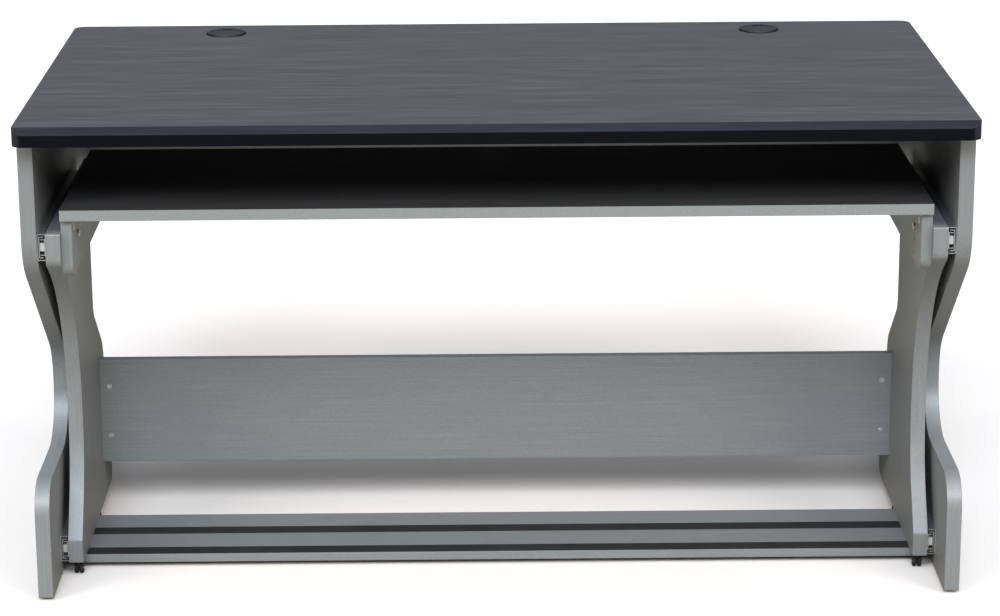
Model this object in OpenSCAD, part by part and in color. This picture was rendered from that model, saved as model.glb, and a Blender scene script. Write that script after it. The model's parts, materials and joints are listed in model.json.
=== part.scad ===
// Studio desk with a pull-out keyboard carriage that rolls on casters between two side panels.
// Millimetres. +X right, +Y away from the player, +Z up. Origin on the floor under the desktop's centre.

/* [Desktop] */
// Width of the desktop
desk_w = 1560; // [1400:10:1800]
// Depth of the desktop
desk_d = 876; // [860:2:960]
// Height of the desktop's upper face above the floor
desk_h = 828; // [800:2:860]
// Thickness of the desktop
top_t = 30; // [25:1:38]
// Radius of the desktop's corners in plan
top_corner_r = 20; // [8:1:40]
// Depth of the sloped front edge, seen from above
bevel_depth = 16; // [6:1:24]
// Height of the sloped front edge
bevel_drop = 10.5; // [4:0.5:18]

/* [Cable grommets] */
// Diameter of the grommet holes in the desktop
grommet_hole_d = 60; // [56:1:70]
// Distance of the grommet centres from the middle of the desktop
grommet_x = 492; // [300:1:600]
// Distance of the grommet centres from the desktop's rear edge
grommet_back = 80; // [65:1:120]
// Diameter of the grommet's rim
grommet_rim_d = 73; // [66:1:84]
// Thickness of the grommet's rim
grommet_rim_t = 3.5; // [1.5:0.5:4]
// Wall of the grommet's sleeve
grommet_wall = 2; // [1.5:0.1:3]
// Length of the grommet's sleeve below the rim
grommet_sleeve = 20; // [12:1:25]
// Width of the cable slot in the cap
slot_w = 20; // [12:1:24]
// Length of the cable slot in the cap
slot_l = 13; // [9:1:15]

/* [Side panels] */
// Thickness of the side panels and of the carriage legs
panel_t = 25; // [22:1:30]
// How far the desktop overhangs each side panel
side_overhang = 2; // [0:1:10]
// How far the side panels stand behind the desktop's front edge
panel_setback = 54; // [30:1:70]
// How far the waist of the side panels stands behind the desktop's front edge
waist_setback = 350; // [250:5:420]
// How far the side panels stop short of the desktop's rear edge
panel_back_gap = 28; // [15:1:60]
// Width of the side panels at the waist
waist_w = 235; // [200:5:240]
// Height of the front foot of the side panels
foot_h = 204; // [180:2:230]
// Fall of the panel's sloped front per unit of depth
shoulder_slope = 0.8; // [0.7:0.05:0.9]
// Height of the floor glides
glide_h = 5; // [3:1:8]

/* [Rear rail and centre brace] */
// Thickness of the thin boards: rail, shelf, shelf brackets and crossbar
board_t = 18; // [16:1:19]
// Height of the rear rail
rail_h = 200; // [120:5:220]
// How far the rear rail stands in front of the desktop's rear edge
rail_back_gap = 78; // [60:2:100]
// Width of the brace in the middle of the rear rail
brace_w = 38; // [30:1:50]
// Depth of the brace under the desktop
brace_d = 150; // [80:5:160]
// Height of the brace against the rail
brace_h = 110; // [60:5:150]

/* [Slides] */
// Height of the telescopic slides
slide_h = 45; // [45:1:46]
// Thickness of the telescopic slides
slide_t = 13; // [12.7:0.1:13.5]
// Length of the telescopic slides when closed
slide_l = 450; // [450:10:460]
// How far the carriage pulls out
travel = 430; // [300:10:430]
// Sheet thickness of the slide members
slide_sheet = 1.2; // [1:0.1:1.3]
// Diameter of the bearing balls
ball_d = 3.1; // [3:0.05:3.1]

/* [Keyboard shelf] */
// Clear height between the keyboard shelf and the desktop
bay_h = 120; // [100:2:140]
// How far the shelf stands behind the desktop's front edge
shelf_setback = 62; // [50:1:80]
// Depth of the keyboard shelf
shelf_d = 441; // [420:1:460]
// Height of the shelf brackets
bracket_h = 100; // [90:1:104]
// How far the brackets stand behind the shelf's front edge
bracket_setback = 10; // [5:1:20]
// How far the legs' tops lie below the shelf
leg_drop = 21; // [15:1:28]
// Pitch of the height holes in the brackets
height_pitch = 22; // [16:1:24]

/* [Legs] */
// How far the legs' tops stand behind the desktop's front edge
leg_setback = 60; // [55:1:70]
// How far the legs' waists stand behind the desktop's front edge
leg_waist_setback = 243; // [225:1:260]
// How far the legs' toes stand behind the desktop's front edge
toe_setback = 168; // [155:1:175]
// Width of the legs at the waist
leg_waist_w = 202; // [180:2:220]
// Depth of the legs' feet from the toe to the rear
leg_foot_d = 451; // [451:1:470]
// Radius of the long hollow curve at the front of the legs
leg_curve_r = 330; // [300:5:340]
// Height of the upright front of the legs' feet
toe_h = 41; // [20:1:50]

/* [Crossbar and base board] */
// How far the crossbar stands behind the desktop's front edge
crossbar_setback = 495; // [480:1:540]
// Height of the crossbar's lower edge above the floor
crossbar_z = 98.5; // [85:0.5:110]
// Height of the crossbar
crossbar_h = 193; // [150:1:200]
// How far the base board stands behind the desktop's front edge
base_setback = 210.5; // [207:0.5:225]
// Depth of the base board
base_d = 200; // [160:5:240]
// Thickness of the base board
base_t = 15; // [14:1:18]
// Width of the rubber foot strips
strip_w = 30; // [20:1:35]
// Spacing of the two rubber foot strips
strip_pitch = 101; // [60:1:120]
// Thickness of the rubber foot strips
strip_t = 1.5; // [1:0.5:3]

/* [Casters] */
// Height of the legs' undersides and the base board's upper face above the floor
leg_bottom = 25; // [22:1:26]
// Diameter of the caster wheels
wheel_d = 19; // [15:0.5:19.5]
// Width of one caster wheel
wheel_w = 6; // [5:0.5:7.5]
// Distance from the toe to the front casters
front_caster_in = 20; // [14:1:25]
// Distance from the rear of the foot to the rear casters
rear_caster_in = 174; // [60:1:184]
// How far the casters stand inwards of the legs' middle planes
caster_shift = 2.5; // [0:0.5:3]

/* [Hidden] */
$fn = 48;
// Side markers: the left side is modelled, the right side is its mirror image
LEFT = -1;
RIGHT = 1;
sides = [LEFT, RIGHT];
// Colours
silver = [0.58, 0.60, 0.62];
dark_wood = [0.34, 0.35, 0.37];
charcoal = [0.16, 0.16, 0.17];
zinc = [0.78, 0.79, 0.80];
black = [0.06, 0.06, 0.07];
pale = [0.80, 0.83, 0.80];
// Clearances: round parts in their holes, screws in their holes, and bodies that slide past each other
fit_gap = 0.05;
hole_gap = 0.3;
run_gap = 0.3;
// Cut tools reach this far past a face
over = 1;
// Largest turn between two points of an arc, in degrees
arc_step = 6;

// Planes along X, on the left side
panel_outer_x = -(desk_w / 2 - side_overhang);
panel_inner_x = panel_outer_x + panel_t;
leg_outer_x = panel_inner_x + slide_t;
leg_inner_x = leg_outer_x + panel_t;
leg_mid_x = (leg_outer_x + leg_inner_x) / 2;
bracket_inner_x = leg_inner_x + board_t;
caster_x = leg_mid_x + caster_shift;

// Planes along Y
front_y = -desk_d / 2;
panel_front = front_y + panel_setback;
panel_back = desk_d / 2 - panel_back_gap;
waist_y = front_y + waist_setback;
waist_back_y = waist_y + waist_w;
foot_back_in = 28;
foot_back_y = panel_back - foot_back_in;
rail_back = desk_d / 2 - rail_back_gap;
rail_front = rail_back - board_t;
shelf_front = front_y + shelf_setback;
shelf_back = shelf_front + shelf_d;
bracket_front = shelf_front + bracket_setback;
bracket_back = shelf_back - bracket_setback - 3;
leg_front = front_y + leg_setback;
leg_waist_front = front_y + leg_waist_setback;
leg_waist_back = leg_waist_front + leg_waist_w;
toe_y = front_y + toe_setback;
leg_back = toe_y + leg_foot_d;
leg_hip_in = 65;
leg_hip_y = leg_back - leg_hip_in;
crossbar_front = front_y + crossbar_setback;
crossbar_mid = crossbar_front + board_t / 2;
base_front = front_y + base_setback;
base_back = base_front + base_d;
grommet_y = desk_d / 2 - grommet_back;

// Planes along Z
top_z = desk_h - top_t;
rail_z = top_z - rail_h;
shelf_top = top_z - bay_h;
shelf_z = shelf_top - board_t;
bracket_z = shelf_z - bracket_h;
leg_top = shelf_z - leg_drop;
upper_slide_z = leg_top - slide_h / 2;
lower_slide_up = 4;
lower_slide_z = leg_bottom + lower_slide_up + slide_h / 2;
shoulder_z = leg_top - slide_h - 6;
knee_z = leg_top - slide_h - 8;
base_z = leg_bottom - base_t;
// Corners of the side panels' rear edge: rear of the foot, lower and upper end of the waist
foot_back_z = 115;
waist_low_z = foot_h + 146;
waist_high_z = shoulder_z - 105;
shoulder_back_slope = 0.5;
// Corners of the legs' edges: instep in front, then foot, hip and underside of the shoulder at the rear
leg_instep_z = leg_bottom + 157;
leg_foot_z = leg_bottom + 87;
leg_hip_z = leg_bottom + 282;
leg_hip_slope = 0.8;
instep_r = 240;
leg_shoulder_z = leg_top - 75;

// Slides: where they start, and the planes of their sheets counted from the side panel
upper_slide_y = leg_front + 1;
lower_slide_y = toe_y;
ball_gap = ball_d + 2 * fit_gap;
outer_lip = slide_t - 1;
middle_web = slide_sheet + 1.4;
middle_h = slide_h / 2 - slide_sheet - ball_gap;
middle_lip = slide_t - 2.6;
inner_web = slide_t - slide_sheet;
inner_h = middle_h - slide_sheet - ball_gap;
inner_lip = middle_web + slide_sheet + 1.2;
cage_t = 0.8;
cage_w = 5;
cage_l = 110;
cage_start = travel / 4 + 10;
balls_per_row = 4;
ball_pitch = (cage_l - 20) / (balls_per_row - 1);
outer_cage_h = slide_h / 2 - slide_sheet - ball_gap / 2;
inner_cage_h = middle_h - slide_sheet - ball_gap / 2;
outer_ball_t = slide_t / 2;
inner_ball_t = slide_t / 2 + 1;
slide_hole_in = 35;
slide_holes = [slide_hole_in, slide_l / 2, slide_l - slide_hole_in];
screw_r = 1.75;
screw_l = 12;
screw_head_r = 3.6;
screw_head_t = 0.9;
// Plastic buffers at the front of the inner members
buffer_h = 14;
buffer_l = 18;
buffer_in = 2;
buffer_front_t = middle_web + slide_sheet + 2 * run_gap;

// Cam fittings
cam_r = 6;
cam_in = 20;
cam_bolt_r = 3;
cam_thread_l = 11;
cam_reach = 5.5;
cam_edge = 40;
panel_cam_front = 66;
bracket_cam_front = 33;
panel_cam_y = [panel_front + panel_cam_front, (panel_front + panel_back) / 2, panel_back - cam_edge];
rail_cam_z = [rail_z + cam_edge, top_z - cam_edge];
bracket_cam_y = [bracket_front + bracket_cam_front, bracket_back - cam_edge];
cam_slot_l = 7;
cam_slot_w = 1.4;

// Bolts of the carriage
bolt_r = 3;
bolt_head_r = 6;
bolt_head_t = 4;
nut_r = 5;
nut_l = 15;
nut_in = 17;
nut_sunk = 0.6;
nut_slot_w = 1.6;
crossbar_bolt_in = 50;
crossbar_bolt_z = [crossbar_z + crossbar_bolt_in, crossbar_z + crossbar_h - crossbar_bolt_in];
height_holes = 4;
height_hole_r = 3.5;
height_hole_up = 14;
height_hole_z = [for (i = [0:height_holes - 1]) bracket_z + height_hole_up + i * height_pitch];
bracket_bolt_z = height_hole_z[2];
bracket_bolt_in = [78, 279];
bracket_bolt_y = [for (d = bracket_bolt_in) bracket_front + d];
bracket_bolt_deep = 6;
bracket_head_t = 3;
socket_r = 2.3;
base_screw_in = 40;
base_screw_y = [base_front + base_screw_in, base_back - base_screw_in];
base_screw_r = 2.5;
base_screw_head_r = 5;
base_thread_l = 28;
brace_screw_in = 25;
brace_thread_l = 25;
brace_screw_z = [top_z - brace_h + brace_screw_in, top_z - brace_screw_in];

// Casters
wheel_r = wheel_d / 2;
caster_y = [toe_y + front_caster_in, leg_back - rear_caster_in];
caster_plate_l = 26;
caster_plate_w = 18;
caster_plate_t = 2;
caster_fin_t = 2.5;
caster_fin_l = 9;
wheel_gap = 0.5;
wheel_round = 2.5;
axle_r = 1.5;
caster_screw_in = 5;
glide_r = 10;
nail_r = 1;
nail_l = 14;
glide_in = 50;
glide_y = [panel_front + glide_in, foot_back_y - glide_in];
panel_mid_x = panel_inner_x - panel_t / 2;

// Unit vector along v
function unit(v) = v / norm(v);
// Points of the arc of radius r that rounds the corner b between a and c
function corner_arc(a, b, c, r) =
    let (
        u = unit(a - b),
        w = unit(c - b),
        half = acos(u * w) / 2,
        centre = b + unit(u + w) * r / sin(half),
        p = b + u * r / tan(half) - centre,
        q = b + w * r / tan(half) - centre,
        start = atan2(p[1], p[0]),
        turn = (atan2(q[1], q[0]) - start + 540) % 360 - 180,
        steps = max(2, ceil(abs(turn) / arc_step))
    )
    [for (i = [0:steps]) centre + r * [cos(start + turn * i / steps), sin(start + turn * i / steps)]];
// Outline through the corners [y, z, radius]
function rounded(corners) =
    let (n = len(corners), at = [for (k = corners) [k[0], k[1]]])
    [for (i = [0:n - 1])
        each corners[i][2] > 0
            ? corner_arc(at[(i + n - 1) % n], at[i], at[(i + 1) % n], corners[i][2])
            : [at[i]]];

// Draws for the left side, or mirrors it to the right
module on_side(side) {
    if (side == LEFT) children();
    else mirror([1, 0, 0]) children();
}
// A board of thickness t from plane x on, with an outline of [y, z] points
module side_board(x, t, outline) {
    translate([x, 0, 0]) rotate([90, 0, 90]) linear_extrude(height = t) polygon(outline);
}
// Round bar of radius r and length l along X, Y or Z from a point
module bar_x(p, r, l) {
    translate(p) rotate([0, 90, 0]) cylinder(r = r, h = l);
}
module bar_y(p, r, l) {
    translate(p) rotate([-90, 0, 0]) cylinder(r = r, h = l);
}
module bar_z(p, r, l) {
    translate(p) cylinder(r = r, h = l);
}

// Cam lock whose face lies in z = 0 and looks down, with the bolt's channel towards +X at depth mid
module cam_lock(mid) {
    difference() {
        cylinder(r = cam_r, h = mid + cam_reach);
        bar_x([0, 0, mid], cam_bolt_r + fit_gap, cam_r + over);
        for (turn = [0, 90]) rotate(turn)
            translate([-cam_slot_l / 2, -cam_slot_w / 2, -over]) cube([cam_slot_l, cam_slot_w, over + 1.2]);
    }
}
// Pocket that takes a cam lock and the shank of its bolt, which enters at distance cam_in
module cam_pocket(mid) {
    translate([0, 0, -over]) cylinder(r = cam_r + hole_gap / 2, h = mid + cam_reach + hole_gap + over);
    bar_x([0, 0, mid], cam_bolt_r + hole_gap / 2, cam_in + over);
}
// Bolt of a cam lock: shank to the board's edge, then thread in the next board
module cam_bolt(mid) {
    bar_x([0, 0, mid], cam_bolt_r, cam_in);
    bar_x([cam_in, 0, mid], cam_bolt_r + 0.5, cam_thread_l);
}
module cam_thread_hole(mid) {
    bar_x([cam_in - over, 0, mid], cam_bolt_r + 0.5 + fit_gap, cam_thread_l + over + hole_gap);
}
// Places a fitting on the inner face of a left side board, with its bolt upwards
module panel_cam_place(y) {
    translate([panel_inner_x, y, top_z - cam_in]) rotate([0, -90, 0]) children();
}
module bracket_cam_place(y) {
    translate([bracket_inner_x, y, shelf_z - cam_in]) rotate([0, -90, 0]) children();
}
// Places a fitting on the rear face of the rail, with its bolt towards the left side panel
module rail_cam_place(z) {
    translate([panel_inner_x + cam_in, rail_back, z]) rotate([90, 0, 0]) rotate([0, 0, 180]) children();
}

// Front and rear S-curve of the side panels
function panel_outline() = rounded([
    [panel_front, top_z, 0],
    [panel_front, shoulder_z, 88],
    [waist_y, shoulder_z - shoulder_slope * (waist_y - panel_front), 90],
    [waist_y, foot_h, 90],
    [panel_front, foot_h, 55],
    [panel_front, glide_h, 3],
    [foot_back_y, glide_h, 3],
    [foot_back_y, foot_back_z, 60],
    [waist_back_y, waist_low_z, 60],
    [waist_back_y, waist_high_z, 45],
    [panel_back, waist_high_z + shoulder_back_slope * (panel_back - waist_back_y), 80],
    [panel_back, top_z, 0]
]);
module side_panel(side) {
    color(silver) on_side(side) difference() {
        side_board(panel_outer_x, panel_t, panel_outline());
        for (y = panel_cam_y) panel_cam_place(y) cam_pocket(panel_t / 2);
        for (z = rail_cam_z) rail_cam_place(z) cam_thread_hole(board_t / 2);
        for (y = slide_holes) {
            bar_x([panel_inner_x - screw_l - hole_gap, upper_slide_y + y, upper_slide_z],
                screw_r + fit_gap, screw_l + over);
            bar_x([panel_inner_x - screw_l - hole_gap, lower_slide_y + y, lower_slide_z],
                screw_r + fit_gap, screw_l + over);
        }
        for (y = glide_y) bar_z([panel_mid_x, y, glide_h - over], nail_r + fit_gap, nail_l + over);
    }
}

module desktop() {
    color(dark_wood) difference() {
        translate([0, 0, top_z]) linear_extrude(height = top_t) {
            square([desk_w - 2 * top_corner_r, desk_d], center = true);
            square([desk_w, desk_d - 2 * top_corner_r], center = true);
            for (x = [-1, 1], y = [-1, 1])
                translate([x * (desk_w / 2 - top_corner_r), y * (desk_d / 2 - top_corner_r)])
                    circle(r = top_corner_r);
        }
        side_board(-desk_w / 2 - over, desk_w + 2 * over, [
            [front_y - over, desk_h - bevel_drop * (1 + over / bevel_depth)],
            [front_y + bevel_depth * (1 + over / bevel_drop), desk_h + over],
            [front_y - over, desk_h + over]
        ]);
        for (side = sides) {
            bar_z([side * grommet_x, grommet_y, top_z - over], grommet_hole_d / 2, top_t + 2 * over);
            on_side(side) for (y = panel_cam_y) panel_cam_place(y) cam_thread_hole(panel_t / 2);
        }
    }
}

module rear_rail() {
    color(silver) difference() {
        translate([panel_inner_x, rail_front, rail_z]) cube([-2 * panel_inner_x, board_t, rail_h]);
        for (side = sides, z = rail_cam_z) on_side(side) rail_cam_place(z) cam_pocket(board_t / 2);
        for (z = brace_screw_z) bar_y([0, rail_front - over, z], screw_r + hole_gap, board_t + 2 * over);
    }
}
// Tapered brace between the rail and the desktop's underside
module centre_brace() {
    color(silver) difference() {
        side_board(-brace_w / 2, brace_w, rounded([
            [rail_front, top_z, 0],
            [rail_front - brace_d, top_z, 0],
            [rail_front - brace_d, top_z - 30, 12],
            [rail_front - 30, top_z - brace_h, 12],
            [rail_front, top_z - brace_h, 0]
        ]));
        for (z = brace_screw_z)
            bar_y([0, rail_front - brace_thread_l - hole_gap, z], screw_r + fit_gap,
                brace_thread_l + hole_gap + over);
    }
}
module brace_screws() {
    color(zinc) for (z = brace_screw_z) {
        bar_y([0, rail_front - brace_thread_l, z], screw_r, brace_thread_l + board_t);
        bar_y([0, rail_back, z], screw_head_r, 2);
    }
}

module frame_cam_locks() {
    color(zinc) for (side = sides) on_side(side) {
        for (y = panel_cam_y) panel_cam_place(y) cam_lock(panel_t / 2);
        for (z = rail_cam_z) rail_cam_place(z) cam_lock(board_t / 2);
    }
}
module frame_cam_bolts() {
    color(zinc) for (side = sides) on_side(side) {
        for (y = panel_cam_y) panel_cam_place(y) cam_bolt(panel_t / 2);
        for (z = rail_cam_z) rail_cam_place(z) cam_bolt(board_t / 2);
    }
}
module floor_glides() {
    color(black) for (side = sides, y = glide_y) on_side(side) translate([panel_mid_x, y, 0]) {
        rotate_extrude()
            polygon([[0, 0], [glide_r - 1.5, 0], [glide_r, 1.5], [glide_r, glide_h], [0, glide_h]]);
        bar_z([0, 0, glide_h], nail_r, nail_l - 1);
    }
}

// Grommet ring: rim on the desktop, sleeve in the hole and a ledge for the cap
ring_bore_r = grommet_hole_d / 2 - run_gap - grommet_wall;
ledge_r = ring_bore_r - 1.8;
ledge_z = -0.5;
module grommet_ring(side) {
    color(black) translate([side * grommet_x, grommet_y, desk_h]) rotate_extrude() polygon([
        [grommet_rim_d / 2, 0],
        [grommet_rim_d / 2, grommet_rim_t * 0.4],
        [grommet_rim_d / 2 - 1.5, grommet_rim_t],
        [ring_bore_r, grommet_rim_t],
        [ring_bore_r, ledge_z],
        [ledge_r, ledge_z],
        [ledge_r, -grommet_sleeve],
        [ring_bore_r + grommet_wall, -grommet_sleeve],
        [ring_bore_r + grommet_wall, 0]
    ]);
}
// Lift-out cap with a crowned top, a skirt and a cable slot at its rear
module grommet_cap(side) {
    cap_r = ring_bore_r - run_gap;
    skirt_r = ledge_r - run_gap;
    color(black) translate([side * grommet_x, grommet_y, desk_h]) difference() {
        rotate_extrude() polygon([
            [0, grommet_rim_t + 1.4],
            [cap_r * 0.35, grommet_rim_t + 1.2],
            [cap_r * 0.7, grommet_rim_t + 0.6],
            [cap_r, grommet_rim_t - 0.4],
            [cap_r, ledge_z],
            [skirt_r, ledge_z],
            [skirt_r, -10],
            [skirt_r - 1.8, -10],
            [skirt_r - 1.8, -0.8],
            [0, -0.8]
        ]);
        translate([-slot_w / 2, cap_r - slot_l, -10 - over]) cube([slot_w, slot_l + over, 20]);
    }
}

// Channel of sheet metal, open towards larger x: web at plane web, flanges of half height h out to plane lip
module channel(web, lip, h) {
    translate([web, 0, -h]) cube([slide_sheet, slide_l, 2 * h]);
    for (z = [-h, h - slide_sheet]) translate([web, 0, z]) cube([lip - web, slide_l, slide_sheet]);
}
// Channel open towards smaller x
module back_channel(web, lip, h) {
    translate([web, 0, -h]) cube([slide_sheet, slide_l, 2 * h]);
    for (z = [-h, h - slide_sheet])
        translate([lip, 0, z]) cube([web + slide_sheet - lip, slide_l, slide_sheet]);
}
// Places a slide part of the upper or lower pair, with x counted from the side panel
module slide_place(side, y, z) {
    on_side(side) translate([panel_inner_x, y, z]) children();
}
module slide_outer(side, y, z) {
    color(zinc) slide_place(side, y, z) difference() {
        channel(0, outer_lip, slide_h / 2);
        for (h = slide_holes) bar_x([-over, h, 0], screw_r + hole_gap, slide_sheet + 2 * over);
    }
}
module slide_middle(side, y, z) {
    color(zinc) slide_place(side, y, z) channel(middle_web, middle_lip, middle_h);
}
module slide_inner(side, y, z) {
    color(zinc) slide_place(side, y, z) difference() {
        back_channel(inner_web, inner_lip, inner_h);
        for (h = slide_holes) bar_x([inner_web - over, h, 0], screw_r + hole_gap, slide_sheet + 2 * over);
    }
}
// All four slides, one after another
module each_slide() {
    for (side = sides) {
        slide_place(side, upper_slide_y, upper_slide_z) children();
        slide_place(side, lower_slide_y, lower_slide_z) children();
    }
}
// Ball cages: an upper and a lower strip with the ball holes, at height h from the slide's middle
module ball_cage(h, ball_t) {
    for (z = [-h, h]) difference() {
        translate([ball_t - cage_w / 2, cage_start, z - cage_t / 2]) cube([cage_w, cage_l, cage_t]);
        for (i = [0:balls_per_row - 1])
            bar_z([ball_t, cage_start + 10 + i * ball_pitch, z - 2], ball_d / 2 + fit_gap, 4);
    }
}
module ball_rows(h, ball_t) {
    for (z = [-h, h], i = [0:balls_per_row - 1])
        translate([ball_t, cage_start + 10 + i * ball_pitch, z]) sphere(d = ball_d);
}
module outer_ball_cages() {
    color(zinc) each_slide() ball_cage(outer_cage_h, outer_ball_t);
}
module inner_ball_cages() {
    color(zinc) each_slide() ball_cage(inner_cage_h, inner_ball_t);
}
module outer_balls() {
    color(zinc) each_slide() ball_rows(outer_cage_h, outer_ball_t);
}
module inner_balls() {
    color(zinc) each_slide() ball_rows(inner_cage_h, inner_ball_t);
}
module outer_slide_screws() {
    color(zinc) each_slide() for (h = slide_holes) {
        bar_x([-screw_l, h, 0], screw_r, screw_l + slide_sheet);
        bar_x([slide_sheet, h, 0], screw_head_r, screw_head_t);
    }
}
module inner_slide_screws() {
    color(zinc) each_slide() for (h = slide_holes) {
        bar_x([inner_web, h, 0], screw_r, screw_l + slide_sheet);
        bar_x([inner_web - screw_head_t, h, 0], screw_head_r, screw_head_t);
    }
}
// Buffers that close the front of the inner members, each with bevelled edges
module slide_buffers() {
    color(pale) each_slide() translate([0, buffer_in, 0]) rotate([-90, 0, 0])
        linear_extrude(height = buffer_l) polygon([
            [buffer_front_t + 1, -buffer_h / 2],
            [inner_web, -buffer_h / 2],
            [inner_web, buffer_h / 2],
            [buffer_front_t + 1, buffer_h / 2],
            [buffer_front_t, buffer_h / 2 - 1],
            [buffer_front_t, 1 - buffer_h / 2]
        ]);
}

module keyboard_shelf() {
    color(charcoal) difference() {
        translate([leg_inner_x, shelf_front, shelf_z]) cube([-2 * leg_inner_x, shelf_d, board_t]);
        for (side = sides, y = bracket_cam_y) on_side(side) bracket_cam_place(y) cam_thread_hole(board_t / 2);
    }
}
module shelf_bracket(side) {
    color(silver) on_side(side) difference() {
        side_board(leg_inner_x, board_t, rounded([
            [bracket_front, shelf_z, 0],
            [bracket_front, bracket_z, 25],
            [bracket_back, bracket_z, 25],
            [bracket_back, shelf_z, 0]
        ]));
        for (y = bracket_cam_y) bracket_cam_place(y) cam_pocket(board_t / 2);
        for (y = bracket_bolt_y, z = height_hole_z)
            bar_x([leg_inner_x - over, y, z], height_hole_r, board_t + 2 * over);
    }
}
module shelf_cam_locks() {
    color(zinc) for (side = sides, y = bracket_cam_y) on_side(side)
        bracket_cam_place(y) cam_lock(board_t / 2);
}
module shelf_cam_bolts() {
    color(zinc) for (side = sides, y = bracket_cam_y) on_side(side)
        bracket_cam_place(y) cam_bolt(board_t / 2);
}
// Bolts that hold the brackets to the legs in one row of the height holes
module bracket_bolts() {
    color(zinc) for (side = sides, y = bracket_bolt_y) on_side(side) difference() {
        union() {
            bar_x([leg_mid_x - bracket_bolt_deep, y, bracket_bolt_z], bolt_r,
                bracket_inner_x - leg_mid_x + bracket_bolt_deep);
            bar_x([bracket_inner_x, y, bracket_bolt_z], bolt_head_r, bracket_head_t);
        }
        bar_x([bracket_inner_x + 1, y, bracket_bolt_z], socket_r, bracket_head_t);
    }
}

// Leg with a shoulder for the upper slide, a waist and a long foot
function leg_outline() = rounded([
    [leg_front, leg_top, 3],
    [leg_front, knee_z, 18],
    [leg_waist_front, knee_z - (leg_waist_front - leg_front) * tan(30), leg_curve_r],
    [leg_waist_front, leg_instep_z, instep_r],
    [toe_y, leg_bottom + toe_h, 14],
    [toe_y, leg_bottom, 3],
    [leg_back, leg_bottom, 22],
    [leg_back, leg_foot_z, 80],
    [leg_hip_y, leg_hip_z, 40],
    [leg_waist_back, leg_hip_z + leg_hip_slope * (leg_hip_y - leg_waist_back), 40],
    [leg_waist_back, leg_shoulder_z, 18],
    [leg_back, leg_shoulder_z, 14],
    [leg_back, leg_top, 14]
]);
module leg(side) {
    color(silver) on_side(side) difference() {
        side_board(leg_outer_x, panel_t, leg_outline());
        for (y = slide_holes) {
            bar_x([leg_outer_x - over, upper_slide_y + y, upper_slide_z],
                screw_r + fit_gap, screw_l + over + hole_gap);
            bar_x([leg_outer_x - over, lower_slide_y + y, lower_slide_z],
                screw_r + fit_gap, screw_l + over + hole_gap);
        }
        for (z = crossbar_bolt_z) {
            bar_x([leg_outer_x - over, crossbar_mid, z], bolt_r + hole_gap / 2, panel_t + 2 * over);
            bar_x([leg_outer_x - over, crossbar_mid, z], bolt_head_r + hole_gap, bolt_head_t + over);
        }
        for (y = bracket_bolt_y)
            bar_x([leg_mid_x - bracket_bolt_deep - hole_gap, y, bracket_bolt_z], bolt_r + fit_gap,
                panel_t / 2 + bracket_bolt_deep + hole_gap + over);
        for (y = base_screw_y)
            bar_z([leg_mid_x, y, leg_bottom - over], base_screw_r + fit_gap, base_thread_l + over + hole_gap);
        for (y = caster_y, end = [-1, 1])
            bar_z([caster_x, y + end * (caster_plate_l / 2 - caster_screw_in), leg_bottom - over],
                screw_r + fit_gap, screw_l + over + hole_gap);
    }
}

module crossbar() {
    color(silver) difference() {
        translate([leg_inner_x, crossbar_front, crossbar_z]) cube([-2 * leg_inner_x, board_t, crossbar_h]);
        for (side = sides, z = crossbar_bolt_z) on_side(side) {
            bar_x([leg_inner_x - over, crossbar_mid, z], bolt_r + hole_gap / 2, nut_in + nut_r + 6 + over);
            bar_y([leg_inner_x + nut_in, crossbar_front - over, z], nut_r + fit_gap, nut_l + over + hole_gap);
        }
    }
}
module crossbar_bolts() {
    color(zinc) for (side = sides, z = crossbar_bolt_z) on_side(side) difference() {
        union() {
            bar_x([leg_outer_x + bolt_head_t, crossbar_mid, z], bolt_r,
                panel_t - bolt_head_t + nut_in + nut_r + 2);
            bar_x([leg_outer_x + 0.5, crossbar_mid, z], bolt_head_r, bolt_head_t - 0.5);
        }
        bar_x([leg_outer_x - over, crossbar_mid, z], socket_r, over + 2.5);
    }
}
// Round nuts that show on the crossbar's front face, each with a screwdriver slot
module barrel_nuts() {
    color(zinc) for (side = sides, z = crossbar_bolt_z) on_side(side) difference() {
        bar_y([leg_inner_x + nut_in, crossbar_front + nut_sunk, z], nut_r, nut_l - nut_sunk);
        bar_x([leg_inner_x, crossbar_mid, z], bolt_r + fit_gap, nut_in + nut_r + over);
        translate([leg_inner_x + nut_in - nut_r - over, crossbar_front, z - nut_slot_w / 2])
            cube([2 * (nut_r + over), nut_sunk + 1.2, nut_slot_w]);
    }
}

module base_board() {
    color(silver) difference() {
        translate([leg_outer_x, base_front, base_z]) cube([-2 * leg_outer_x, base_d, base_t]);
        for (side = sides, y = base_screw_y) on_side(side) {
            bar_z([leg_mid_x, y, base_z - over], base_screw_r + hole_gap / 2, base_t + 2 * over);
            bar_z([leg_mid_x, y, base_z - over], base_screw_head_r + hole_gap / 2, over + 3);
        }
    }
}
module base_board_screws() {
    color(zinc) for (side = sides, y = base_screw_y) on_side(side) difference() {
        union() {
            bar_z([leg_mid_x, y, base_z + 0.5], base_screw_r, base_t + base_thread_l - 0.5);
            bar_z([leg_mid_x, y, base_z + 0.5], base_screw_head_r, 2.5);
        }
        bar_z([leg_mid_x, y, base_z - over], 1.8, over + 2);
    }
}
module footrest_strip(y) {
    color(black) translate([leg_inner_x + 1, y, leg_bottom]) cube([-2 * (leg_inner_x + 1), strip_w, strip_t]);
}

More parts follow.
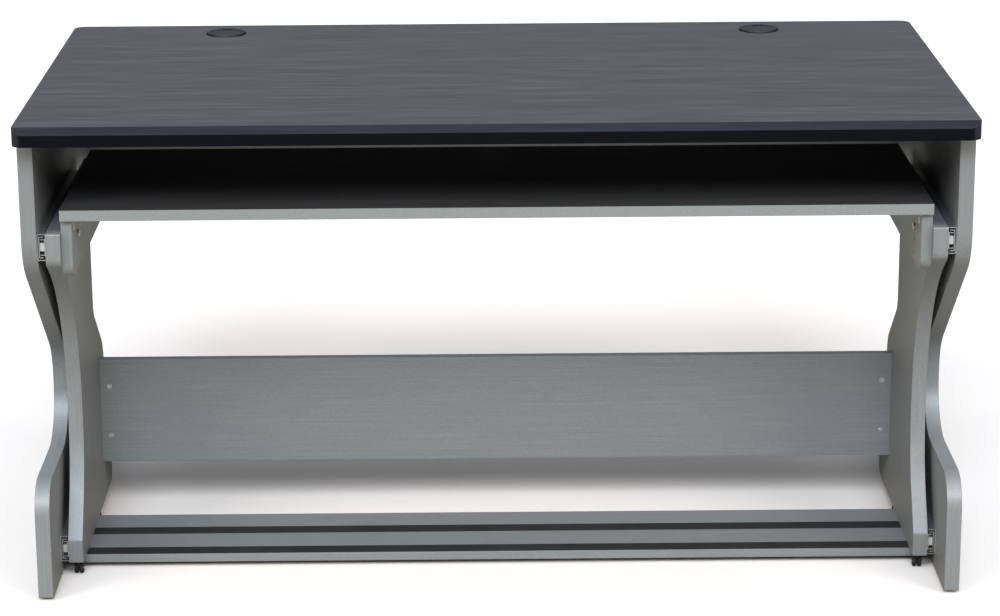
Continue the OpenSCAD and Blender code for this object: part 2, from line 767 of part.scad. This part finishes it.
// Twin-wheel caster under a leg: plate with a fin, and an axle with a wheel on each side of the fin
module caster_place(side, y) {
    on_side(side) translate([caster_x, y, 0]) children();
}
module caster_housing(side, y) {
    color(black) caster_place(side, y) difference() {
        union() {
            translate([-caster_plate_w / 2, -caster_plate_l / 2, leg_bottom - caster_plate_t])
                cube([caster_plate_w, caster_plate_l, caster_plate_t]);
            translate([-caster_fin_t / 2, -caster_fin_l / 2, wheel_r])
                cube([caster_fin_t, caster_fin_l, leg_bottom - caster_plate_t - wheel_r]);
            bar_x([-caster_fin_t / 2, 0, wheel_r], 4, caster_fin_t);
        }
        bar_x([-caster_fin_t / 2 - over, 0, wheel_r], axle_r + 0.02, caster_fin_t + 2 * over);
        for (end = [-1, 1])
            bar_z([0, end * (caster_plate_l / 2 - caster_screw_in), leg_bottom - caster_plate_t - over],
                screw_r + hole_gap / 2, caster_plate_t + 2 * over);
    }
}
module caster_axles() {
    half = caster_fin_t / 2 + wheel_gap + wheel_w + run_gap;
    color(zinc) for (side = sides, y = caster_y) caster_place(side, y) {
        bar_x([-half, 0, wheel_r], axle_r, 2 * half);
        for (x = [-half - 0.6, half]) bar_x([x, 0, wheel_r], axle_r + 1, 0.6);
    }
}
module caster_screws() {
    color(zinc) for (side = sides, y = caster_y, end = [-1, 1]) caster_place(side, y)
        translate([0, end * (caster_plate_l / 2 - caster_screw_in), leg_bottom - caster_plate_t]) {
            bar_z([0, 0, 0], screw_r, screw_l + caster_plate_t);
            bar_z([0, 0, -1.2], 3, 1.2);
        }
}
// Half section of a wheel as [radius, place along the axle], with its outer rim rounded
function wheel_section() = concat(
    [[axle_r + fit_gap, 0], [wheel_r - 0.8, 0], [wheel_r, 0.8]],
    [for (turn = [0:22.5:90]) [
        wheel_r - wheel_round * (1 - cos(turn)),
        wheel_w - wheel_round * (1 - sin(turn))
    ]],
    [[wheel_r - 3.2, wheel_w], [wheel_r - 3.6, wheel_w - 0.8], [axle_r + 2, wheel_w - 0.8]],
    [[axle_r + 1.6, wheel_w], [axle_r + fit_gap, wheel_w]]
);
module caster_wheels(side, y) {
    color(charcoal) caster_place(side, y) for (x = [-1, 1])
        translate([x * (caster_fin_t / 2 + wheel_gap), 0, wheel_r]) rotate([0, 90 * x, 0])
            rotate_extrude() polygon(wheel_section());
}

desktop();
side_panel(LEFT);  // left_side_panel
side_panel(RIGHT);  // right_side_panel
rear_rail();
centre_brace();
slide_outer(LEFT, upper_slide_y, upper_slide_z);  // upper_slide_outer_left
slide_outer(RIGHT, upper_slide_y, upper_slide_z);  // upper_slide_outer_right
slide_outer(LEFT, lower_slide_y, lower_slide_z);  // lower_slide_outer_left
slide_outer(RIGHT, lower_slide_y, lower_slide_z);  // lower_slide_outer_right
slide_middle(LEFT, upper_slide_y, upper_slide_z);  // upper_slide_middle_left
slide_middle(RIGHT, upper_slide_y, upper_slide_z);  // upper_slide_middle_right
slide_middle(LEFT, lower_slide_y, lower_slide_z);  // lower_slide_middle_left
slide_middle(RIGHT, lower_slide_y, lower_slide_z);  // lower_slide_middle_right
slide_inner(LEFT, upper_slide_y, upper_slide_z);  // upper_slide_inner_left
slide_inner(RIGHT, upper_slide_y, upper_slide_z);  // upper_slide_inner_right
slide_inner(LEFT, lower_slide_y, lower_slide_z);  // lower_slide_inner_left
slide_inner(RIGHT, lower_slide_y, lower_slide_z);  // lower_slide_inner_right
outer_ball_cages();
inner_ball_cages();
outer_balls();
inner_balls();
outer_slide_screws();
inner_slide_screws();
slide_buffers();
frame_cam_locks();
frame_cam_bolts();
brace_screws();
floor_glides();
grommet_ring(LEFT);  // grommet_ring_left
grommet_ring(RIGHT);  // grommet_ring_right
grommet_cap(LEFT);  // grommet_cap_left
grommet_cap(RIGHT);  // grommet_cap_right
keyboard_shelf();
shelf_bracket(LEFT);  // shelf_bracket_left
shelf_bracket(RIGHT);  // shelf_bracket_right
shelf_cam_locks();
shelf_cam_bolts();
bracket_bolts();
leg(LEFT);  // leg_left
leg(RIGHT);  // leg_right
crossbar();
crossbar_bolts();
barrel_nuts();
base_board();
base_board_screws();
footrest_strip(base_front);  // footrest_strip_front
footrest_strip(base_front + strip_pitch);  // footrest_strip_rear
caster_housing(LEFT, caster_y[0]);  // caster_housing_front_left
caster_housing(RIGHT, caster_y[0]);  // caster_housing_front_right
caster_housing(LEFT, caster_y[1]);  // caster_housing_rear_left
caster_housing(RIGHT, caster_y[1]);  // caster_housing_rear_right
caster_axles();
caster_screws();
caster_wheels(LEFT, caster_y[0]);  // caster_wheels_front_left
caster_wheels(RIGHT, caster_y[0]);  // caster_wheels_front_right
caster_wheels(LEFT, caster_y[1]);  // caster_wheels_rear_left
caster_wheels(RIGHT, caster_y[1]);  // caster_wheels_rear_right
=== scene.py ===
import json
import math

import bpy
from mathutils import Matrix, Vector

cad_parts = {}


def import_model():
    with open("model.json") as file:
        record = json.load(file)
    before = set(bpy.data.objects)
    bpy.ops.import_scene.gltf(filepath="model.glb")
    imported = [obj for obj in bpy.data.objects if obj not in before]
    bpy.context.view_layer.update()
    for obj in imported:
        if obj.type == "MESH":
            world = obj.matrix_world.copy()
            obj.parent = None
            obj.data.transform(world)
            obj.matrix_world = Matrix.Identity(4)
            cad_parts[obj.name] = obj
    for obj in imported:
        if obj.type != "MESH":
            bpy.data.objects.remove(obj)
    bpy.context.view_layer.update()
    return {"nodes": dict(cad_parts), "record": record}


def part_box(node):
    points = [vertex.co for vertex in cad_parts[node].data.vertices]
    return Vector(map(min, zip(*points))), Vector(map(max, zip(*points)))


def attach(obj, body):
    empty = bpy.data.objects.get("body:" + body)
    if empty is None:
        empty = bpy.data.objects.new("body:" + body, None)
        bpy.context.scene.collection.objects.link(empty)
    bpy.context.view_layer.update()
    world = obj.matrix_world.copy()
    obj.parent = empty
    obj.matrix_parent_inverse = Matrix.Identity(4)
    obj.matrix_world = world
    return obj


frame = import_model()

# Camera, solved from the photograph's straight edges, in the part's own frame
IMAGE_W = 1000
FOCAL_PX = 3073.6
CENTRE_PX = (481.75, 308.1)
CAMERA_AT = (-0.0408, -5.2449, 1.9063)
PITCH_DOWN = math.radians(16.03)
YAW_RIGHT = math.radians(0.177)
ROLL = math.radians(-0.406)
SENSOR_MM = 36.0
FURTHEST_SEEN = 60

# Soft suns: name; azimuth from the front to the right, elevation and softness, in degrees;
# strength; colour
COOL = (0.90, 1.0, 1.13)
WARM = (1.07, 1.0, 0.91)
SUNS = (
    ("key_light", -3, 38, 24, 1.7, COOL),
    ("left_light", -48, 32, 30, 1.3, WARM),
    ("right_light", 44, 32, 30, 1.25, WARM),
    ("top_light", 10, 80, 50, 0.85, COOL),
    ("back_light", 178, 40, 50, 0.26, COOL),
)
SUN_DISTANCE = 5.0
# Strength of the surroundings in front, behind and, on top of these, above
WORLD_FRONT = 0.17
WORLD_BACK = 0.06
WORLD_TOP = 0.15

# The floor's colour as the desk sees it, and as the camera does
FLOOR_UNSEEN = (0.46, 0.43, 0.38, 1.0)
FLOOR_LOW = (0.985, 0.935, 0.90, 1.0)
FLOOR_HIGH = (1.025, 0.975, 0.94, 1.0)
FLOOR_SIZE = 60
FLOOR_MIDDLE = (0, 4, 0)

RIBS_PER_STRIP = 8
RIB_HEIGHT = 0.0005
RIB_END_GAP = 0.002
# A rib's outline: along the strip's depth in steps of the rib pitch, and up in rib heights
RIB_OUTLINE = ((-0.3, -0.1), (-0.3, 0.4), (-0.16, 1.0), (0.16, 1.0), (0.3, 0.4), (0.3, -0.1))

SMOOTH_ANGLE = math.radians(30)
WELD_DISTANCE = 1e-5
EDGE_SAMPLES = 6
FORWARD = (0, -1, 0)
UPWARD = (0, 0, 1)
# Sockets of a Mix node: the factor and the two things mixed, and the resulting colour
MIX_NUMBERS = (0, 2, 3)
MIX_COLOURS = (0, 6, 7)
MIXED_COLOUR = 2
# How fast the silver laminate's streaks change along each axis, on upright and on level boards
STREAKS_UPRIGHT = (420.0, 420.0, 5.0)
STREAKS_ACROSS = (5.0, 420.0, 420.0)
ACROSS_NODES = ("rear_rail", "crossbar", "base_board")


def srgb(r, g, b):
    """Linear colour with alpha, from screen values of 0 to 255."""
    def lin(c):
        c /= 255
        return c / 12.92 if c <= 0.04045 else ((c + 0.055) / 1.055) ** 2.4
    return (lin(r), lin(g), lin(b), 1.0)


def grey(value):
    return (value, value, value, 1.0)


class Shader:
    """Small builder for node materials whose patterns run in object space, in metres."""

    def __init__(self, name, roughness, metallic=0.0):
        self.mat = bpy.data.materials.new(name)
        self.mat.use_nodes = True
        self.tree = self.mat.node_tree
        self.bsdf = self.tree.nodes["Principled BSDF"]
        self.bsdf.inputs["Roughness"].default_value = roughness
        self.bsdf.inputs["Metallic"].default_value = metallic
        self.coords = self.add("ShaderNodeTexCoord").outputs["Object"]

    def add(self, kind, **settings):
        node = self.tree.nodes.new(kind)
        for key, value in settings.items():
            setattr(node, key, value)
        return node

    def link(self, source, target):
        self.tree.links.new(source, target)

    def feed(self, socket, value):
        """Links a node's output to a socket, or sets the socket to a constant."""
        if isinstance(value, bpy.types.NodeSocket):
            self.link(value, socket)
        else:
            socket.default_value = value

    def stretched(self, scale):
        """Pattern coordinates, with a scale of their own along each axis."""
        mapping = self.add("ShaderNodeMapping")
        mapping.inputs["Scale"].default_value = scale
        self.link(self.coords, mapping.inputs["Vector"])
        return mapping.outputs["Vector"]

    def noise(self, vector, scale=1.0, detail=3.0, roughness=0.5, distortion=0.0):
        node = self.add("ShaderNodeTexNoise")
        node.inputs["Scale"].default_value = scale
        node.inputs["Detail"].default_value = detail
        node.inputs["Roughness"].default_value = roughness
        node.inputs["Distortion"].default_value = distortion
        self.link(vector, node.inputs["Vector"])
        return node.outputs["Fac"]

    def ramp(self, fac, stops):
        """A colour for each value, between stops of position and colour."""
        node = self.add("ShaderNodeValToRGB")
        elements = node.color_ramp.elements
        while len(elements) < len(stops):
            elements.new(stops[-1][0])
        for element, (position, colour) in zip(elements, stops):
            element.position = position
            element.color = colour
        self.link(fac, node.inputs["Fac"])
        return node.outputs["Color"]

    def mix(self, fac, a, b):
        """Colour a at 0, and colour b at 1."""
        node = self.add("ShaderNodeMix", data_type="RGBA")
        for index, value in zip(MIX_COLOURS, (fac, a, b)):
            self.feed(node.inputs[index], value)
        return node.outputs[MIXED_COLOUR]

    def math(self, operation, a, b):
        node = self.add("ShaderNodeMath", operation=operation)
        for socket, value in zip(node.inputs, (a, b)):
            self.feed(socket, value)
        return node.outputs[0]

    def facing(self, direction, low, high):
        """0 to 1 as the true surface turns towards a direction of the object's frame."""
        geometry = self.add("ShaderNodeNewGeometry")
        dot = self.add("ShaderNodeVectorMath", operation="DOT_PRODUCT")
        dot.inputs[1].default_value = direction
        self.link(geometry.outputs["True Normal"], dot.inputs[0])
        step = self.add("ShaderNodeMapRange", clamp=True)
        step.inputs["From Min"].default_value = low
        step.inputs["From Max"].default_value = high
        self.link(dot.outputs["Value"], step.inputs["Value"])
        return step.outputs["Result"]

    def colour(self, value):
        self.link(value, self.bsdf.inputs["Base Color"])

    def specular(self, level):
        self.bsdf.inputs["Specular IOR Level"].default_value = level

    def rough(self, fac, low, high):
        """Roughness from low to high as a pattern goes from 0 to 1."""
        step = self.add("ShaderNodeMapRange")
        step.inputs["To Min"].default_value = low
        step.inputs["To Max"].default_value = high
        self.link(fac, step.inputs["Value"])
        self.link(step.outputs["Result"], self.bsdf.inputs["Roughness"])

    def bump(self, height, strength, distance, edge=0.0):
        """Fine relief, on edges that look rounded to a radius in metres."""
        node = self.add("ShaderNodeBump")
        if edge:
            soft = self.add("ShaderNodeBevel", samples=EDGE_SAMPLES)
            soft.inputs["Radius"].default_value = edge
            self.link(soft.outputs["Normal"], node.inputs["Normal"])
        node.inputs["Strength"].default_value = strength
        node.inputs["Distance"].default_value = distance
        self.link(height, node.inputs["Height"])
        self.link(node.outputs["Normal"], self.bsdf.inputs["Normal"])


def dark_wood():
    """Dark grey wood-grain laminate, grained along the desk, with a darker bevel and a black edge."""
    s = Shader("dark_wood_laminate", 0.5)
    s.specular(0.11)
    fibres = s.noise(s.stretched((5.0, 140.0, 140.0)), detail=6.0, roughness=0.7)
    bands = s.noise(s.stretched((0.7, 16.0, 16.0)), detail=3.0, distortion=0.6)
    pores = s.noise(s.stretched((14.0, 620.0, 620.0)), detail=2.0)
    base = s.ramp(fibres, [
        (0.34, srgb(66, 66, 70)),
        (0.5, srgb(81, 81, 85)),
        (0.66, srgb(98, 98, 101)),
    ])
    base = s.mix(s.ramp(bands, [(0.35, grey(0.0)), (0.65, grey(0.4))]), base, srgb(72, 72, 75))
    base = s.mix(s.ramp(pores, [(0.34, grey(0.4)), (0.44, grey(0.0))]), base, srgb(50, 50, 53))
    bevel = s.ramp(fibres, [(0.3, srgb(31, 32, 39)), (0.7, srgb(46, 47, 55))])
    base = s.mix(s.facing(FORWARD, 0.35, 0.5), base, bevel)
    edge = s.ramp(fibres, [(0.3, srgb(3, 4, 10)), (0.7, srgb(6, 7, 15))])
    base = s.mix(s.facing(FORWARD, 0.9, 0.97), base, edge)
    s.colour(base)
    s.rough(fibres, 0.42, 0.58)
    s.bump(pores, 0.12, 0.0004, edge=0.0010)
    return s.mat


def silver_laminate(name, streak_scale):
    """Silver laminate: fine metallic specks and brushed streaks on a slightly blue grey."""
    s = Shader(name, 0.5, 0.35)
    s.specular(0.3)
    specks = s.noise(s.coords, scale=1500.0, detail=2.0)
    streaks = s.noise(s.stretched(streak_scale), detail=4.0, roughness=0.6)
    clouds = s.noise(s.coords, scale=9.0, detail=3.0)
    dark_streaks = s.ramp(streaks, [(0.35, grey(0.3)), (0.6, grey(0.0))])
    pale_streaks = s.ramp(streaks, [(0.5, grey(0.0)), (0.72, grey(0.25))])
    base = s.ramp(specks, [
        (0.36, srgb(130, 133, 134)),
        (0.5, srgb(144, 147, 148)),
        (0.66, srgb(162, 164, 165)),
    ])
    base = s.mix(dark_streaks, base, srgb(126, 129, 131))
    base = s.mix(pale_streaks, base, srgb(168, 170, 171))
    base = s.mix(s.ramp(clouds, [(0.35, grey(0.0)), (0.7, grey(0.3))]), base, srgb(139, 141, 142))
    s.colour(base)
    s.rough(streaks, 0.43, 0.56)
    relief = s.math("ADD", specks, s.math("MULTIPLY", streaks, 2.0))
    s.bump(relief, 0.06, 0.0002, edge=0.0012)
    return s.mat


def charcoal_laminate():
    """Charcoal shelf laminate, grained along the shelf, with a silver front edge and underside; the
    dark of its top, back and ends is partly the laminate's own tone and partly painted shade from the
    desktop above.
    """
    s = Shader("charcoal_laminate", 0.5)
    s.specular(0.3)
    specks = s.noise(s.coords, scale=1100.0, detail=2.0)
    grain = s.noise(s.stretched((4.0, 150.0, 150.0)), detail=5.0)
    # This charcoal is partly painted shade: it stands in part for the desktop's shadow on the shelf's
    # top, back and ends.
    base = s.ramp(grain, [(0.3, srgb(50, 50, 51)), (0.7, srgb(66, 66, 67))])
    edge = s.ramp(specks, [
        (0.36, srgb(130, 134, 134)),
        (0.5, srgb(138, 142, 142)),
        (0.66, srgb(148, 151, 151)),
    ])
    base = s.mix(s.facing(UPWARD, -0.6, -0.5), edge, base)
    base = s.mix(s.facing(FORWARD, 0.7, 0.8), base, edge)
    s.colour(base)
    s.bump(specks, 0.06, 0.0002, edge=0.0008)
    return s.mat


def zinc():
    """Bright zinc plating with faint rolling marks."""
    s = Shader("zinc_plated_steel", 0.3, 0.93)
    streaks = s.noise(s.stretched((900.0, 12.0, 900.0)), detail=3.0)
    clouds = s.noise(s.coords, scale=60.0, detail=3.0)
    s.colour(s.ramp(clouds, [(0.3, srgb(204, 206, 209)), (0.7, srgb(226, 228, 230))]))
    s.rough(streaks, 0.24, 0.42)
    s.bump(streaks, 0.08, 0.0002)
    return s.mat


def black_plastic():
    """Moulded black plastic with a fine spark-eroded texture."""
    s = Shader("black_plastic", 0.42)
    grain = s.noise(s.coords, scale=1400.0, detail=2.0)
    clouds = s.noise(s.coords, scale=30.0, detail=2.0)
    s.colour(s.ramp(clouds, [(0.3, srgb(14, 14, 16)), (0.7, srgb(22, 22, 24))]))
    s.rough(grain, 0.36, 0.55)
    s.bump(grain, 0.15, 0.0002)
    return s.mat


def black_rubber():
    """Matt black rubber with dust in its texture."""
    s = Shader("black_rubber", 0.75)
    grain = s.noise(s.coords, scale=900.0, detail=3.0)
    dust = s.noise(s.coords, scale=14.0, detail=4.0)
    s.colour(s.ramp(dust, [(0.35, srgb(20, 20, 22)), (0.7, srgb(31, 31, 32))]))
    s.rough(grain, 0.66, 0.86)
    s.bump(grain, 0.2, 0.0003)
    return s.mat


def pale_plastic():
    """Smooth milky plastic."""
    s = Shader("pale_plastic", 0.35)
    clouds = s.noise(s.coords, scale=90.0, detail=2.0)
    s.colour(s.ramp(clouds, [(0.3, srgb(172, 177, 172)), (0.7, srgb(190, 194, 189))]))
    s.rough(clouds, 0.3, 0.42)
    s.bump(clouds, 0.05, 0.0002)
    return s.mat


def floor_paint():
    """Plain white floor, with barely visible variation; it throws less light back than it shows."""
    s = Shader("studio_floor", 0.9)
    s.specular(0.1)
    clouds = s.noise(s.coords, scale=1.2, detail=2.0)
    seen = s.add("ShaderNodeLightPath").outputs["Is Camera Ray"]
    s.colour(s.mix(seen, FLOOR_UNSEEN, s.ramp(clouds, [(0.0, FLOOR_LOW), (1.0, FLOOR_HIGH)])))
    return s.mat


MATERIALS = {
    "dark_wood": dark_wood(),
    "silver_laminate": silver_laminate("silver_laminate_upright", STREAKS_UPRIGHT),
    "charcoal_laminate": charcoal_laminate(),
    "zinc": zinc(),
    "black_plastic": black_plastic(),
    "black_rubber": black_rubber(),
    "pale_plastic": pale_plastic(),
}
ACROSS = silver_laminate("silver_laminate_across", STREAKS_ACROSS)


def dress_nodes():
    """Gives each CAD node its material, smooth curves and crisp edges."""
    slots = {row["node"]: row["material_slot"] for row in frame["record"]["subparts"]}
    for name, obj in frame["nodes"].items():
        mesh = obj.data
        mesh.materials.clear()
        mesh.materials.append(ACROSS if name in ACROSS_NODES else MATERIALS[slots[name]])
        # The stored normals shade each CAD face apart, so they would keep the curves faceted
        if "custom_normal" in mesh.attributes:
            mesh.attributes.remove(mesh.attributes["custom_normal"])
        mesh.polygons.foreach_set("use_smooth", [True] * len(mesh.polygons))
        weld = obj.modifiers.new("joined_faces", "WELD")
        weld.merge_threshold = WELD_DISTANCE
        split = obj.modifiers.new("crisp_edges", "EDGE_SPLIT")
        split.split_angle = SMOOTH_ANGLE
        split.use_edge_sharp = False


def strip_ribs():
    """Fine lengthwise ribs on the rubber foot strips."""
    n = len(RIB_OUTLINE)
    for name in ("footrest_strip_front", "footrest_strip_rear"):
        low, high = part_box(name)
        pitch = (high[1] - low[1]) / RIBS_PER_STRIP
        verts, faces = [], []
        for i in range(RIBS_PER_STRIP):
            middle = low[1] + (i + 0.5) * pitch
            start = len(verts)
            for x in (low[0] + RIB_END_GAP, high[0] - RIB_END_GAP):
                for y, z in RIB_OUTLINE:
                    verts.append((x, middle + y * pitch, high[2] + z * RIB_HEIGHT))
            for k in range(n):
                after = (k + 1) % n
                faces.append((start + k, start + after, start + n + after, start + n + k))
            faces.append(tuple(start + k for k in reversed(range(n))))
            faces.append(tuple(start + n + k for k in range(n)))
        mesh = bpy.data.meshes.new(name + "_ribs")
        mesh.from_pydata(verts, [], faces)
        mesh.materials.append(MATERIALS["black_rubber"])
        ribs = bpy.data.objects.new(name + "_ribs", mesh)
        bpy.context.collection.objects.link(ribs)
        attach(ribs, "carriage")


def world():
    """Soft surroundings, brightest above and in front, and white where the camera sees them."""
    scene_world = bpy.data.worlds.new("studio_world")
    bpy.context.scene.world = scene_world
    scene_world.use_nodes = True
    nodes, link = scene_world.node_tree.nodes, scene_world.node_tree.links.new
    background = nodes["Background"]
    coords = nodes.new("ShaderNodeTexCoord")
    axes = nodes.new("ShaderNodeSeparateXYZ")
    link(coords.outputs["Generated"], axes.inputs[0])
    total = nodes.new("ShaderNodeMath")
    total.operation = "ADD"
    for axis, total_input, limits in (
        ("Y", total.inputs[0], (-1.0, 1.0, WORLD_FRONT, WORLD_BACK)),
        ("Z", total.inputs[1], (0.0, 1.0, 0.0, WORLD_TOP)),
    ):
        step = nodes.new("ShaderNodeMapRange")
        for socket, value in zip(("From Min", "From Max", "To Min", "To Max"), limits):
            step.inputs[socket].default_value = value
        link(axes.outputs[axis], step.inputs["Value"])
        link(step.outputs["Result"], total_input)
    pick = nodes.new("ShaderNodeMix")
    seen, unseen_strength, seen_strength = (pick.inputs[i] for i in MIX_NUMBERS)
    link(nodes.new("ShaderNodeLightPath").outputs["Is Camera Ray"], seen)
    link(total.outputs[0], unseen_strength)
    seen_strength.default_value = 1.0
    link(pick.outputs[0], background.inputs["Strength"])
    background.inputs["Color"].default_value = grey(1.0)


def studio():
    """White floor and soft lights."""
    bpy.ops.mesh.primitive_plane_add(size=FLOOR_SIZE, location=FLOOR_MIDDLE)
    floor = bpy.context.object
    floor.name = "studio_floor"
    floor.data.materials.append(floor_paint())
    for name, azimuth, elevation, softness, strength, colour in SUNS:
        data = bpy.data.lights.new(name, "SUN")
        data.angle = math.radians(softness)
        data.energy = strength
        data.color = colour
        light = bpy.data.objects.new(name, data)
        bpy.context.collection.objects.link(light)
        turn, rise = math.radians(azimuth), math.radians(elevation)
        towards = Vector((
            math.sin(turn) * math.cos(rise),
            -math.cos(turn) * math.cos(rise),
            math.sin(rise),
        ))
        light.location = towards * SUN_DISTANCE
        light.rotation_euler = towards.to_track_quat("Z", "Y").to_euler()


def camera():
    """The photograph's camera: it looks along ahead, rolled a little about that line."""
    ahead = Vector((
        math.sin(YAW_RIGHT) * math.cos(PITCH_DOWN),
        math.cos(YAW_RIGHT) * math.cos(PITCH_DOWN),
        -math.sin(PITCH_DOWN),
    ))
    level = Vector((math.cos(YAW_RIGHT), -math.sin(YAW_RIGHT), 0))
    upright = level.cross(ahead)
    right = level * math.cos(ROLL) + upright * math.sin(ROLL)
    up = upright * math.cos(ROLL) - level * math.sin(ROLL)
    data = bpy.data.cameras.new("photo_camera")
    data.sensor_width = SENSOR_MM
    data.lens = SENSOR_MM * FOCAL_PX / IMAGE_W
    data.shift_x = (IMAGE_W / 2 - CENTRE_PX[0]) / IMAGE_W
    data.clip_end = FURTHEST_SEEN
    cam = bpy.data.objects.new("photo_camera", data)
    bpy.context.collection.objects.link(cam)
    basis = Matrix((right, up, -ahead)).transposed().to_4x4()
    cam.matrix_world = Matrix.Translation(CAMERA_AT) @ basis
    bpy.context.scene.camera = cam


dress_nodes()
strip_ribs()
world()
studio()
camera()
bpy.context.scene.view_settings.view_transform = "Standard"
